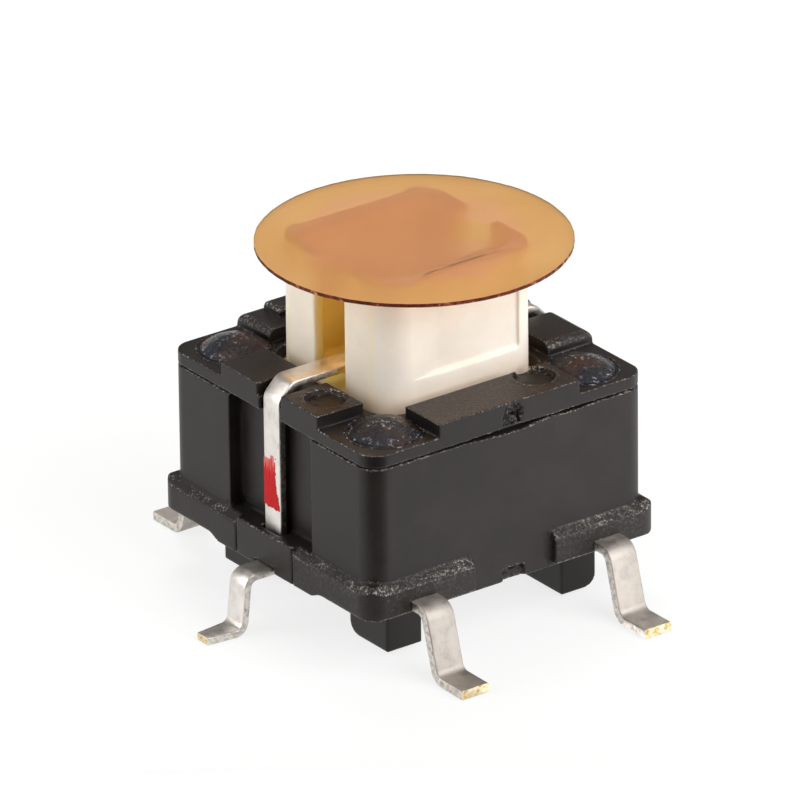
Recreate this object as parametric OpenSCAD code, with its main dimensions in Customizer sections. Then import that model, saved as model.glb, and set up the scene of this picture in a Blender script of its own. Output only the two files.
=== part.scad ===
// Surface-mount push-button switch with a lamp inside its hollow stem.
// Z = 0 is the circuit board, under the solder feet. X and Y are measured from the
// middle of the body: the lamp's two straps lie along X, the switch terminals along Y.

/* [Body] */
// Width of the body along X
body_w = 10; // [9.6:0.1:11]
// Depth of the body along Y
body_d = 10; // [9.6:0.1:11]
// Radius of the body's upright corners
body_corner_r = 0.65; // [0.4:0.05:0.8]
// Height of the base's underside above the board
base_z = 1.72; // [1.6:0.02:1.9]
// Height of the base's moulded walls
base_h = 4.88; // [4.5:0.02:5.4]
// Plastic left under the contact frames
under_frame_t = 0.23; // [0.15:0.01:0.3]
// Plastic skin over the contact frames
floor_skin_t = 0.15; // [0.1:0.01:0.25]
// Depth of the round pocket that holds the snap dome
dome_pocket_h = 0.9; // [0.7:0.05:1.2]

/* [Flange] */
// How far the foot flange stands out from the walls
flange_out = 0.27; // [0.2:0.01:0.3]
// Height of the flange
flange_h = 1.06; // [0.9:0.02:1.2]
// How far the flange starts above the underside
flange_rise = 0.14; // [0.1:0.01:0.2]
// Chamfer along the flange's top edge
flange_top_chamfer = 0.24; // [0.1:0.01:0.26]
// Chamfer along the flange's bottom edge
flange_foot_chamfer = 0.08; // [0.05:0.01:0.12]
// Plain gap in the middle of each terminal side
flange_gap_w = 2.9; // [2.4:0.1:3.2]
// Width of the smooth bar in front of each lamp strap
bar_w = 2.76; // [2.4:0.02:3.2]
// Length of the lip under the flange on the strap sides, at the underside
lip_w = 4.6; // [4:0.1:5.4]
// How far each end of that lip slopes up to the flange
lip_slope = 0.5; // [0.2:0.05:0.8]

/* [Stand-offs] */
// Inner X face of the stand-off pegs
peg_in_x = 2.55; // [2.2:0.05:2.8]
// Size of a peg along X
peg_w = 1.26; // [1.1:0.02:1.4]
// Inner Y face of the stand-off pegs
peg_in_y = 2.2; // [2:0.05:2.5]
// Size of a peg along Y
peg_d = 1.86; // [1.6:0.02:2]
// Gap left between the pegs and the board
peg_clear = 0.13; // [0.05:0.01:0.2]
// Rounding of one lower edge of each peg
peg_round_r = 0.4; // [0.2:0.05:0.5]

/* [Strap recess] */
// Width of the shallow recess behind each lamp strap
recess_w = 4.04; // [3.6:0.02:4.4]
// Depth of that recess
recess_depth = 0.45; // [0.35:0.01:0.5]

/* [Cover] */
// Thickness of the cover plate
rim_t = 0.4; // [0.3:0.02:0.5]
// Height of the pads above the plate
pad_h = 0.42; // [0.3:0.02:0.5]
// Clearance between the stem and its opening
opening_fit = 0.23; // [0.15:0.01:0.3]
// How far the pads stand back from the opening
pad_setback = 0.31; // [0.15:0.01:0.4]
// Length of the pads on the terminal sides
long_pad_w = 5.1; // [4.6:0.1:5.2]
// Width of the channel for a lamp strap between the short pads
channel_w = 1.16; // [1:0.02:1.3]
// Distance of the short pads' outer ends from the middle
short_pad_out = 2.4; // [2.2:0.05:2.5]
// Diameter of the round ejector dimples
dimple_d = 1.25; // [1:0.05:1.4]
// Depth of the dimples
dimple_depth = 0.1; // [0.05:0.01:0.2]
// Rounding of the outer upper edges of the rear pad and of the plain strap's pads
pad_round_r = 0.3; // [0.1:0.02:0.38]
// Length of the raised boss on the rear pad
boss_w = 3.6; // [3:0.1:4.4]
// Front-to-back size of the boss
boss_d = 0.8; // [0.6:0.05:0.9]
// Distance of the boss from the rear wall
boss_back = 0.32; // [0.2:0.02:0.5]
// Height of the boss above the pad
boss_h = 0.3; // [0.2:0.02:0.6]
// Edge radius of the boss
boss_r = 0.16; // [0.1:0.02:0.25]

/* [Stakes] */
// How far the stakes lie inwards, along X, of the middle of the cover's frame
stake_in_x = 0.475; // [0.42:0.005:0.52]
// How far they lie inwards along Y
stake_in_y = 0.345; // [0.32:0.005:0.4]
// Radius of the stake posts
post_r = 0.6; // [0.5:0.02:0.65]
// Radius of the formed heads
head_r = 1.06; // [0.95:0.01:1.1]
// Height of the formed heads
head_h = 0.45; // [0.35:0.01:0.5]
// Height of a head's upright rim
head_rim_h = 0.08; // [0.04:0.01:0.12]
// Clearance between a post and its hole in the cover
post_fit = 0.04; // [0.02:0.01:0.08]

/* [Stem] */
// Width of the stem across its flats
stem_w = 5.64; // [5.5:0.02:5.7]
// Radius of the stem's upright corners
stem_corner_r = 1; // [0.8:0.05:1.1]
// Height of the stem's rim above the board
stem_top_z = 10.89; // [10.5:0.01:12]
// Wall thickness of the two slotted sides
stem_side_t = 0.36; // [0.3:0.02:0.5]
// Wall thickness of the two closed sides
stem_wall_t = 0.74; // [0.6:0.02:0.8]
// Width of the slots for the lamp straps
slot_w = 1.46; // [1.3:0.02:1.6]
// Distance of the stem's inside floor below the straps
slot_drop = 0.5; // [0.35:0.05:0.6]
// Width of the shallow pocket on each closed side
pocket_w = 4; // [3.4:0.1:4.2]
// Depth of that pocket
pocket_depth = 0.2; // [0.1:0.02:0.3]
// Height of the pocket's ledge above the cover pads
ledge_h = 0.42; // [0.2:0.02:0.8]
// How far the hidden retaining flange reaches past the opening
stop_lip = 0.25; // [0.2:0.01:0.27]
// Plastic left between that flange's cavity and the stakes
stake_wall = 0.54; // [0.5:0.01:0.6]
// Thickness of that flange
stop_t = 0.8; // [0.6:0.05:1]
// Clearance round the flange in the base
stop_fit = 0.12; // [0.1:0.01:0.15]
// Radius of the plunger under the stem
plunger_r = 1.1; // [0.9:0.05:1.3]
// Edge radius of the plunger's tip
plunger_edge_r = 0.3; // [0.2:0.05:0.4]
// Play between faces that only touch
touch_gap = 0.02; // [0.01:0.01:0.03]

/* [Pick-up film] */
// Diameter of the film disc
film_d = 9.4; // [8:0.1:9.8]
// Thickness of the film
film_t = 0.11; // [0.05:0.01:0.15]
// How far the disc was stuck off the middle along X
film_off_x = 0.05; // [-0.35:0.01:0.35]
// How far the disc was stuck off the middle along Y
film_off_y = -0.33; // [-0.35:0.01:0.35]

/* [Switch terminals] */
// Thickness of the contact frames
lead_t = 0.3; // [0.25:0.01:0.35]
// Width of a terminal
lead_w = 0.97; // [0.9:0.01:1.1]
// Spacing of the two terminals of one side
lead_pitch = 6.65; // [6.5:0.01:6.75]
// Span over the feet along Y
lead_span = 15.4; // [15:0.1:16]
// Straight length of a terminal outside the wall
lead_shelf = 0.55; // [0.45:0.01:0.65]
// Radius of the bends at the middle of the metal
lead_bend_r = 0.4; // [0.3:0.01:0.45]
// Outward lean of the terminals' legs in degrees
lead_lean = 16; // [5:1:20]

/* [Contacts] */
// Radius of the snap dome
dome_r = 3; // [2.8:0.05:3.05]
// Thickness of the snap dome
dome_t = 0.07; // [0.05:0.01:0.1]
// Play round the snap dome in its pocket
dome_fit = 0.12; // [0.08:0.01:0.2]
// Travel of the stem until the dome touches the centre contact
travel = 0.3; // [0.2:0.01:0.35]
// Width of the ring that carries the dome's rim
seat_w = 0.6; // [0.5:0.02:0.7]
// Half angle that the ring spans from +X
seat_half_angle = 125; // [110:1:130]
// Radius of the centre contact
centre_r = 0.8; // [0.6:0.05:0.9]
// Height of the centre contact over the floor
centre_h = 0.1; // [0.06:0.01:0.12]
// Width of the arm to the centre contact
arm_w = 1; // [0.8:0.05:1.2]

/* [Lamp] */
// Width of a lamp strap
strap_w = 0.8; // [0.7:0.01:0.9]
// Thickness of a lamp strap
strap_t = 0.24; // [0.2:0.01:0.26]
// How far a strap's outer face lies inside the body wall
strap_inset = 0.07; // [0.05:0.01:0.12]
// Radius of the strap's top bend at the middle of the metal
strap_top_r = 0.47; // [0.4:0.01:0.5]
// Radius of the strap's other bends
strap_bend_r = 0.33; // [0.25:0.01:0.35]
// Height of the strap's underside where it leaves the base
strap_out_z = 1.65; // [1.6:0.01:1.8]
// Straight length of a strap outside the wall
strap_shelf = 0.79; // [0.7:0.01:0.9]
// Outward lean of the straps' legs in degrees
strap_lean = 6; // [2:1:12]
// Span over the strap feet along X
strap_span = 15; // [14.8:0.1:15.6]
// Width of a strap's foot at its tip
strap_tip_w = 0.56; // [0.4:0.02:0.7]
// Play beside a strap in the slots of base and cover
strap_fit = 0.09; // [0.06:0.01:0.12]
// Length of the lamp body along X
lamp_w = 2.8; // [2.4:0.1:3]
// Depth of the lamp body along Y
lamp_d = 2.4; // [2:0.1:2.6]
// Height of the lamp body under the straps
lamp_under_h = 0.3; // [0.2:0.02:0.35]
// Height of the lamp body over the straps
lamp_over_h = 0.6; // [0.5:0.02:0.8]
// Radius of the lamp's lens
lens_r = 0.9; // [0.7:0.05:1]
// Side of the light-emitting chip
chip_side = 0.34; // [0.26:0.02:0.4]
// Height of the chip
chip_h = 0.14; // [0.1:0.01:0.18]

/* [Polarity mark] */
// Height of the mark's lower end above the board
mark_z = 3.56; // [3.4:0.02:3.8]
// Length of the painted mark
mark_h = 1.8; // [1.4:0.02:1.8]
// Width of the painted mark
mark_w = 0.74; // [0.5:0.02:0.76]
// Thickness of the paint
mark_t = 0.02; // [0.01:0.01:0.03]

/* [Hidden] */

$fn = 48;
// Faces round a flat arc whose radius is much larger than the piece
fine_fn = 360;
// Flat faces that stand for each bend of a formed strip
bend_faces = 10;
// How far a cutter runs past the face that it opens
past = 0.5;

// Heights above the board, from the underside to the top
seam_z = base_z + base_h;
rim_z = seam_z + rim_t;
pad_z = rim_z + pad_h;
flange_z = base_z + flange_rise;
flange_top_z = flange_z + flange_h;
frame_z = base_z + under_frame_t;
frame_top_z = frame_z + lead_t;
floor_z = frame_top_z + floor_skin_t;
dome_pocket_z = floor_z + dome_pocket_h;
centre_top_z = floor_z + centre_h;
dome_apex_z = centre_top_z + travel;
plunger_z = dome_apex_z + dome_t + touch_gap;
stop_top_z = seam_z - touch_gap;
strap_z = pad_z;
stem_floor_z = strap_z - slot_drop;

// Distances from the middle
stem_half = stem_w / 2;
opening_half = stem_half + opening_fit;
pad_in = opening_half + pad_setback;
stake_x = (opening_half + body_w / 2) / 2 - stake_in_x;
stake_y = (opening_half + body_d / 2) / 2 - stake_in_y;
stop_half = opening_half + stop_lip;
stop_trim_r = norm([stake_x, stake_y]) - post_r - stake_wall - stop_fit;
post_hole_r = post_r + post_fit;
recess_x = body_w / 2 - recess_depth;
strap_face_x = body_w / 2 - strap_inset;
strap_mid_x = strap_face_x - strap_t / 2;
lead_x = lead_pitch / 2;
seat_out_r = dome_r + seat_w / 2;
seat_in_r = dome_r - seat_w / 2;
dome_sphere_r = (pow(dome_r, 2) + pow(dome_apex_z - floor_z, 2))
    / (2 * (dome_apex_z - floor_z));

// Flat outline of a rectangle with round corners, centred
module rounded_rect(w, d, r) {
    square([w - 2 * r, d], center = true);
    square([w, d - 2 * r], center = true);
    for (x = [-1, 1], y = [-1, 1])
        translate([x * (w / 2 - r), y * (d / 2 - r)]) circle(r);
}

// Solid between two heights over a flat outline
module between(low, high) {
    translate([0, 0, low]) linear_extrude(high - low) children();
}

// Section of a bar of width w with its upper and lower edges cut off
module chamfered_section(w, low, high, top_cut, foot_cut) {
    polygon([
        [-w / 2 + foot_cut, low], [w / 2 - foot_cut, low],
        [w / 2, low + foot_cut], [w / 2, high - top_cut],
        [w / 2 - top_cut, high], [-w / 2 + top_cut, high],
        [-w / 2, high - top_cut], [-w / 2, low + foot_cut]
    ]);
}

// Flat outline in Y and Z drawn out along X, centred
module along_x(length) {
    rotate([90, 0, 90]) linear_extrude(length, center = true) children();
}

// Flat outline in X and Z drawn out along Y, centred
module along_y(length) {
    rotate([90, 0, 0]) linear_extrude(length, center = true) children();
}

// Unit vector to the left of a heading in degrees
function left_of(heading) = [-sin(heading), cos(heading)];

// Points along one side of a formed strip, at a given distance from its middle line
function strip_side(steps, off, i = 0, at = [0, 0], heading = 0) =
    i == len(steps) ? [] :
    let (
        run = steps[i][0],
        turn = steps[i][1],
        r = steps[i][2] * sign(turn),
        bend_start = at + run * [cos(heading), sin(heading)],
        centre = bend_start + r * left_of(heading),
        faces = turn == 0 ? 0 : bend_faces
    )
    concat(
        [at + off * left_of(heading), bend_start + off * left_of(heading)],
        [for (k = [1:1:faces - 1]) centre + (off - r) * left_of(heading + turn * k / faces)],
        strip_side(steps, off, i + 1, centre - r * left_of(heading + turn), heading + turn)
    );

// Section of a formed strip: each step is a straight run, a turn and its radius
module formed_strip(steps, t) {
    upper = strip_side(steps, t / 2);
    lower = strip_side(steps, -t / 2);
    polygon(concat(upper, [for (i = [len(lower) - 1:-1:0]) lower[i]]));
}

// Length of a leaning leg between two equal bends that drop by a given height
function leg_length(drop, turn, r) = (drop - 2 * r * (1 - cos(turn))) / sin(turn);

// How far two equal bends and the leg between them reach outwards
function leg_reach(drop, turn, r) =
    2 * r * sin(turn) + leg_length(drop, turn, r) * cos(turn);

// Base moulding
module base() {
    color([0.14, 0.13, 0.13])
    difference() {
        union() {
            between(base_z, seam_z) rounded_rect(body_w, body_d, body_corner_r);
            foot_flange();
            strap_bars();
            pegs();
            stakes();
        }
        between(dome_pocket_z, seam_z + past) stop_outline(stop_fit);
        between(floor_z, dome_pocket_z + past) circle(dome_r + dome_fit);
        for (side = [-1, 1]) strap_passage(side);
        base_gate_mark();
        centre_frame_flat();
        outer_frame_flat();
        terminal_ways();
    }
}

// Ways through the flange for the four switch terminals
module terminal_ways() {
    between(frame_z, frame_top_z)
        for (x = [-lead_x, lead_x])
            translate([x, 0]) square([lead_w, body_d + 2 * flange_out + past], center = true);
}

// Flange round the foot of the walls, left out in the middle of the terminal sides
module foot_flange() {
    w = body_w + 2 * flange_out;
    d = body_d + 2 * flange_out;
    difference() {
        intersection() {
            between(flange_z, flange_top_z) rounded_rect(w, d, body_corner_r);
            along_x(w)
                chamfered_section(d, flange_z, flange_top_z, flange_top_chamfer, flange_foot_chamfer);
            along_y(d)
                chamfered_section(w, flange_z, flange_top_z, flange_top_chamfer, flange_foot_chamfer);
        }
        between(flange_z - past, flange_top_z + past)
            square([flange_gap_w, d + 2 * past], center = true);
        between(flange_z - past, flange_top_z + past)
            square([w + 2 * past, bar_w], center = true);
    }
}

// Smooth bars that close the flange in front of the lamp straps, and the lip under it
module strap_bars() {
    w = body_w + 2 * flange_out;
    between(base_z, flange_top_z) square([w, bar_w], center = true);
    along_x(w)
        polygon([
            [-lip_w / 2, base_z], [lip_w / 2, base_z],
            [lip_w / 2 + lip_slope, flange_z + flange_foot_chamfer],
            [-lip_w / 2 - lip_slope, flange_z + flange_foot_chamfer]
        ]);
}

// Four stand-off pegs under the base
module pegs() {
    for (y = [-1, 1]) {
        translate([-peg_in_x - peg_w, 0]) peg_rounded_inside(y);
        translate([peg_in_x, 0]) peg_rounded_outside(y);
    }
}

// Peg whose lower edge towards the middle is round
module peg_rounded_inside(side) {
    r = peg_round_r;
    translate([peg_w / 2, side * (peg_in_y + peg_d / 2)])
        mirror([0, side < 0 ? 0 : 1, 0])
            along_x(peg_w) peg_section(peg_d, r);
}

// Peg whose lower edge away from the middle is round
module peg_rounded_outside(side) {
    translate([peg_w / 2, side * (peg_in_y + peg_d / 2)])
        along_y(peg_d) peg_section(peg_w, peg_round_r);
}

// Section of a peg with one round lower edge on its positive side
module peg_section(w, r) {
    translate([-w / 2, peg_clear]) square([w - r, base_z - peg_clear]);
    translate([-w / 2, peg_clear + r]) square([w, base_z - peg_clear - r]);
    translate([w / 2 - r, peg_clear + r]) circle(r);
}

// Posts through the cover with their heads formed over it
module stakes() {
    crown_h = head_h - head_rim_h;
    crown_r = (pow(head_r, 2) + pow(crown_h, 2)) / (2 * crown_h);
    for (x = [-1, 1], y = [-1, 1])
        translate([x * stake_x, y * stake_y]) {
            between(seam_z - past, rim_z) circle(post_r);
            translate([0, 0, rim_z])
                intersection() {
                    cylinder(h = head_h, r = head_r);
                    translate([0, 0, head_h - crown_r]) sphere(crown_r, $fn = 96);
                }
        }
}

// Outline of the stem's retaining flange, or of the cavity round it
module stop_outline(fit) {
    intersection() {
        square(2 * (stop_half + fit), center = true);
        circle(stop_trim_r + fit);
    }
}

// Room for a lamp strap: a shallow recess and a slot down behind its bar
module strap_passage(side) {
    slot_in_x = strap_face_x - strap_t - strap_fit;
    slot_out_x = strap_face_x + strap_fit;
    slot_w = strap_w + 2 * strap_fit;
    mirror([side < 0 ? 1 : 0, 0, 0]) {
        translate([recess_x, -recess_w / 2, flange_top_z])
            cube([recess_depth + past, recess_w, seam_z - flange_top_z + past]);
        translate([slot_in_x, -slot_w / 2, base_z - past])
            cube([slot_out_x - slot_in_x, slot_w, flange_top_z - base_z + 2 * past]);
        translate([slot_in_x, -slot_w / 2, base_z - past])
            cube([body_w, slot_w, strap_out_z + strap_t + touch_gap - base_z + past]);
    }
}

// Cover moulding
module cover() {
    color([0.17, 0.15, 0.15])
    difference() {
        union() {
            between(seam_z, rim_z) rounded_rect(body_w, body_d, body_corner_r);
            pads();
            rear_boss();
        }
        between(seam_z - past, pad_z + past)
            rounded_rect(2 * opening_half, 2 * opening_half, stem_corner_r);
        for (x = [-1, 1], y = [-1, 1])
            translate([x * stake_x, y * stake_y])
                between(seam_z - past, rim_z + past) circle(post_hole_r);
        strap_notches();
        dimples();
        cover_gate_mark();
    }
}

// Raised pads between the stakes
module pads() {
    pad_d = body_d / 2 - pad_in;
    pad_w = body_w / 2 - pad_in;
    short_l = short_pad_out - channel_w / 2;
    translate([0, -pad_in - pad_d / 2])
        between(rim_z - rim_t / 2, pad_z) square([long_pad_w, pad_d], center = true);
    translate([0, pad_in + pad_d / 2]) rounded_pad(long_pad_w, pad_d);
    for (y = [-1, 1]) {
        translate([-pad_in - pad_w / 2, y * (channel_w / 2 + short_l / 2)])
            between(rim_z - rim_t / 2, pad_z) square([pad_w, short_l], center = true);
        mirror([0, y < 0 ? 1 : 0, 0])
            translate([pad_in + pad_w / 2, channel_w / 2 + short_l / 2])
                rotate([0, 0, -90]) quarter_rounded_pad(short_l, pad_w);
    }
}

// Pad whose rear upper edge and both ends are round
module rounded_pad(w, d) {
    intersection() {
        along_x(w) pad_profile(d, 0, pad_round_r);
        along_y(d) pad_profile(w, pad_round_r, pad_round_r);
    }
}

// Pad whose rear upper edge and one end are round
module quarter_rounded_pad(w, d) {
    intersection() {
        along_x(w) pad_profile(d, 0, pad_round_r);
        along_y(d) pad_profile(w, pad_round_r, 0);
    }
}

// Section of a pad of width w, its upper edges round where their radius isn't 0
module pad_profile(w, low_r, high_r) {
    foot_z = rim_z - rim_t / 2;
    translate([-w / 2, foot_z]) square([w, pad_z - foot_z - max(low_r, high_r)]);
    translate([-w / 2 + low_r, foot_z]) square([w - low_r - high_r, pad_z - foot_z]);
    if (low_r > 0) translate([-w / 2 + low_r, pad_z - low_r]) circle(low_r);
    if (high_r > 0) translate([w / 2 - high_r, pad_z - high_r]) circle(high_r);
}

// Rounded boss that stands on the rear pad
module rear_boss() {
    translate([0, body_d / 2 - boss_back - boss_d / 2])
        intersection() {
            along_x(boss_w) boss_section(boss_d);
            along_y(boss_d) boss_section(boss_w);
        }
}

// Section of the boss, round at its upper edges
module boss_section(w) {
    top_z = pad_z + boss_h;
    translate([-w / 2, rim_z]) square([w, top_z - rim_z - boss_r]);
    translate([-w / 2 + boss_r, rim_z]) square([w - 2 * boss_r, top_z - rim_z]);
    for (x = [-1, 1])
        translate([x * (w / 2 - boss_r), top_z - boss_r]) circle(boss_r);
}

// Notches at the cover's edge where the straps turn down
module strap_notches() {
    notch_w = strap_w + 2 * strap_fit;
    notch_in_x = strap_face_x - strap_t - strap_fit;
    for (side = [0, 1])
        mirror([side, 0, 0])
            translate([notch_in_x, -notch_w / 2, seam_z - past])
                cube([body_w, notch_w, rim_t + 2 * past]);
}

// Round dimples left by the ejector pins
module dimples() {
    long_y = (pad_in + body_d / 2) / 2;
    short_x = (pad_in + body_w / 2) / 2;
    short_y = (channel_w / 2 + short_pad_out) / 2;
    for (spot = [[long_pad_w / 2 - dimple_d * 0.68, -long_y + dimple_d * 0.2],
                 [-short_x + dimple_d * 0.1, -short_y], [short_x - dimple_d * 0.1, short_y]])
        translate([spot.x, spot.y, pad_z - dimple_depth])
            cylinder(h = dimple_depth + past, d = dimple_d);
}

// Torn-off gate at the foot of the base's front wall
module base_gate_mark() {
    gate_w = 0.8;
    gate_h = 0.42;
    gate_depth = 0.12;
    gate_x = 0.1;
    translate([gate_x - gate_w / 2, -body_d / 2 - past, base_z - past])
        cube([gate_w, gate_depth + past, gate_h + past]);
}

// Torn-off gate at the cover's front edge
module cover_gate_mark() {
    gate_w = 0.6;
    gate_depth = 0.1;
    gate_x = 0.06;
    translate([gate_x - gate_w / 2, -body_d / 2 - past, seam_z + rim_t * 0.15])
        cube([gate_w, gate_depth + past, rim_t * 0.95]);
}

// Stem: square hollow cap, retaining flange and plunger in one moulding
module stem() {
    stop_z = stop_top_z - stop_t;
    color([0.93, 0.9, 0.83])
    difference() {
        union() {
            between(stop_z, stem_top_z) rounded_rect(stem_w, stem_w, stem_corner_r);
            between(stop_z, stop_top_z) stop_outline(0);
            plunger(stop_z);
        }
        between(stem_floor_z, stem_top_z + past)
            rounded_rect(stem_w - 2 * stem_side_t, stem_w - 2 * stem_wall_t, stem_side_t);
        between(stem_floor_z, stem_top_z + past)
            square([stem_w + 2 * past, slot_w], center = true);
        side_pockets();
    }
}

// Plunger that presses the snap dome, round at its tip
module plunger(top_z) {
    rotate_extrude() {
        translate([0, plunger_z]) square([plunger_r - plunger_edge_r, top_z - plunger_z]);
        translate([0, plunger_z + plunger_edge_r])
            square([plunger_r, top_z - plunger_z - plunger_edge_r]);
        intersection() {
            translate([plunger_r - plunger_edge_r, plunger_z + plunger_edge_r])
                circle(plunger_edge_r);
            square([plunger_r, stem_top_z]);
        }
    }
}

// Shallow pockets in the two closed sides, open at the top
module side_pockets() {
    ledge_z = pad_z + ledge_h;
    for (side = [0, 1])
        mirror([0, side, 0])
            translate([-pocket_w / 2, stem_half - pocket_depth, ledge_z])
                cube([pocket_w, pocket_depth + past, stem_top_z - ledge_z + past]);
}

// Pick-up film stuck on the stem's rim
module pickup_film() {
    color([0.82, 0.5, 0.16])
    translate([film_off_x, film_off_y])
        between(stem_top_z, stem_top_z + film_t) circle(film_d / 2, $fn = 96);
}

// Snap dome that closes the contacts and returns the stem
module contact_dome() {
    centre_z = dome_apex_z - dome_sphere_r;
    color([0.75, 0.76, 0.78])
    rotate_extrude($fn = 96)
        intersection() {
            difference() {
                translate([0, centre_z]) circle(dome_sphere_r + dome_t, $fn = fine_fn);
                translate([0, centre_z]) circle(dome_sphere_r, $fn = fine_fn);
            }
            translate([0, floor_z]) square([dome_r, dome_apex_z - floor_z + dome_t]);
        }
}

// Section of a switch terminal from the wall outwards
module terminal_section() {
    turn = 90 - lead_lean;
    drop = frame_z;
    start_y = body_d / 2 - recess_depth;
    bend_y = body_d / 2 + lead_shelf;
    foot_y = bend_y + leg_reach(drop, turn, lead_bend_r);
    translate([start_y, frame_z + lead_t / 2])
        formed_strip([
            [bend_y - start_y, -turn, lead_bend_r],
            [leg_length(drop, turn, lead_bend_r), turn, lead_bend_r],
            [lead_span / 2 - foot_y, 0, 0]
        ], lead_t);
}

// Both formed terminals of a frame, one on each side
module terminal_pair(x) {
    for (side = [0, 1])
        mirror([0, side, 0])
            translate([x, 0]) along_x(lead_w) terminal_section();
}

// Flat embedded part of the centre contact's frame
module centre_frame_flat() {
    between(frame_z, frame_top_z) {
        translate([-lead_x, 0]) square([lead_w, body_d], center = true);
        translate([-lead_x, -arm_w / 2]) square([lead_x, arm_w]);
        circle(centre_r);
    }
    between(frame_z, floor_z) circle(centre_r);
}

// Frame of the centre contact with its two terminals
module centre_frame() {
    color([0.8, 0.78, 0.75]) {
        centre_frame_flat();
        between(frame_z, centre_top_z) circle(centre_r);
        terminal_pair(-lead_x);
    }
}

// Ring sector under the snap dome's rim, open towards -X
module seat_sector() {
    reach = 3 * seat_out_r;
    difference() {
        circle(seat_out_r);
        circle(seat_in_r);
        polygon([[0, 0], reach * [cos(seat_half_angle), sin(seat_half_angle)],
            reach * [cos(seat_half_angle), -sin(seat_half_angle)]]);
    }
}

// Flat embedded part of the outer contact's frame with the dome's seat
module outer_frame_flat() {
    between(frame_z, frame_top_z)
        translate([lead_x, 0]) square([lead_w, body_d], center = true);
    between(frame_z, floor_z) seat_sector();
}

// Frame of the outer contact with its two terminals
module outer_frame() {
    color([0.8, 0.78, 0.75]) {
        outer_frame_flat();
        terminal_pair(lead_x);
    }
}

// Section of a lamp strap from the lamp to its foot, with its inner end at in_x
module strap_section(in_x) {
    turn = 90 - strap_lean;
    mid_z = strap_z + strap_t / 2;
    out_mid_z = strap_out_z + strap_t / 2;
    bend_x = body_w / 2 + strap_shelf;
    foot_x = bend_x + leg_reach(strap_out_z, turn, strap_bend_r);
    translate([in_x, mid_z])
        formed_strip([
            [strap_mid_x - strap_top_r - in_x, -90, strap_top_r],
            [mid_z - out_mid_z - strap_top_r - strap_bend_r, 90, strap_bend_r],
            [bend_x - strap_mid_x - strap_bend_r, -turn, strap_bend_r],
            [leg_length(strap_out_z, turn, strap_bend_r), turn, strap_bend_r],
            [strap_span / 2 - foot_x, 0, 0]
        ], strap_t);
}

// Plan outline of a strap, narrower towards the tip of its foot
module strap_plan() {
    taper_x = body_w / 2 + strap_shelf + 2 * strap_bend_r;
    polygon([
        [-strap_span, -strap_w / 2], [taper_x, -strap_w / 2], [strap_span / 2, -strap_tip_w / 2],
        [strap_span / 2, strap_tip_w / 2], [taper_x, strap_w / 2], [-strap_span, strap_w / 2]
    ]);
}

// Lamp strap along +X whose inner end is at in_x
module lamp_strap(in_x) {
    color([0.85, 0.83, 0.8])
    intersection() {
        along_y(strap_w) strap_section(in_x);
        between(0, pad_z + past) strap_plan();
    }
}

// Strap towards -X, which carries the mark
module lamp_strap_left() {
    mirror([1, 0, 0]) lamp_strap(chip_side * 1.5);
}

// Strap towards +X, which carries the chip
module lamp_strap_right() {
    lamp_strap(-chip_side * 0.7);
}

// Light-emitting chip on the right strap's inner end
module lamp_chip() {
    color([0.9, 0.75, 0.3])
    translate([0, 0, strap_z + strap_t])
        between(0, chip_h) square(chip_side, center = true);
}

// Cast resin body of the lamp with its lens
module lamp_body() {
    low_z = strap_z - lamp_under_h;
    top_z = strap_z + strap_t + lamp_over_h;
    color([0.95, 0.95, 0.9, 0.6])
    difference() {
        union() {
            between(low_z, top_z) rounded_rect(lamp_w, lamp_d, lamp_under_h / 2);
            intersection() {
                translate([0, 0, top_z]) sphere(lens_r);
                between(low_z, top_z + lens_r) square(2 * lens_r, center = true);
            }
        }
        lamp_strap_left();
        lamp_strap_right();
        lamp_chip();
    }
}

// Painted mark on the left strap's upright face
module polarity_mark() {
    color([0.78, 0.16, 0.17])
    translate([-strap_face_x - mark_t / 2, (strap_w - mark_w) / 2 - touch_gap])
        along_x(mark_t)
            polygon([
                [-mark_w * 0.5, mark_z + mark_h * 0.05], [-mark_w * 0.1, mark_z],
                [mark_w * 0.5, mark_z + mark_h * 0.03], [mark_w * 0.5, mark_z + mark_h * 0.97],
                [mark_w * 0.1, mark_z + mark_h], [-mark_w * 0.36, mark_z + mark_h * 0.94],
                [-mark_w * 0.3, mark_z + mark_h * 0.6], [-mark_w * 0.5, mark_z + mark_h * 0.35]
            ]);
}

base();
cover();
stem();
pickup_film();
contact_dome();
centre_frame();
outer_frame();
lamp_body();
lamp_chip();
lamp_strap_left();
lamp_strap_right();
polarity_mark();
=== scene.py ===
import math
import random

import bmesh
import bpy
from mathutils import Matrix, Vector, noise


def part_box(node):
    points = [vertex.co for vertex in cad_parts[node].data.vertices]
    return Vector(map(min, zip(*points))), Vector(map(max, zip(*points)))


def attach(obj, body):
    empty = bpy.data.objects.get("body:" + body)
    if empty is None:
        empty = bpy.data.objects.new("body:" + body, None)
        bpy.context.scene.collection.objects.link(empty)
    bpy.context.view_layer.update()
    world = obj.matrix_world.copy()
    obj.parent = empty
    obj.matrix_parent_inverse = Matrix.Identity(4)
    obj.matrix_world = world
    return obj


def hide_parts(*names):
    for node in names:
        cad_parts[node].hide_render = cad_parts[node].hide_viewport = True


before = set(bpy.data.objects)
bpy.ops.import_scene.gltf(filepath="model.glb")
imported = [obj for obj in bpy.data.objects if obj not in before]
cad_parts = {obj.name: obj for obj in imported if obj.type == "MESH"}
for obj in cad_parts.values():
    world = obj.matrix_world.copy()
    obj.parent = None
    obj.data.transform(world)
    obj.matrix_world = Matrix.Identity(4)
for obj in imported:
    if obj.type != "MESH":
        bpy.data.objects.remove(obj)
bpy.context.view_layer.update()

MM = 0.001


# Sizes in millimetres, read from the frame where a CAD piece gives them

def box_mm(node):
    """The low and high corners of a CAD piece's box."""
    return [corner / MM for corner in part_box(node)]


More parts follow.
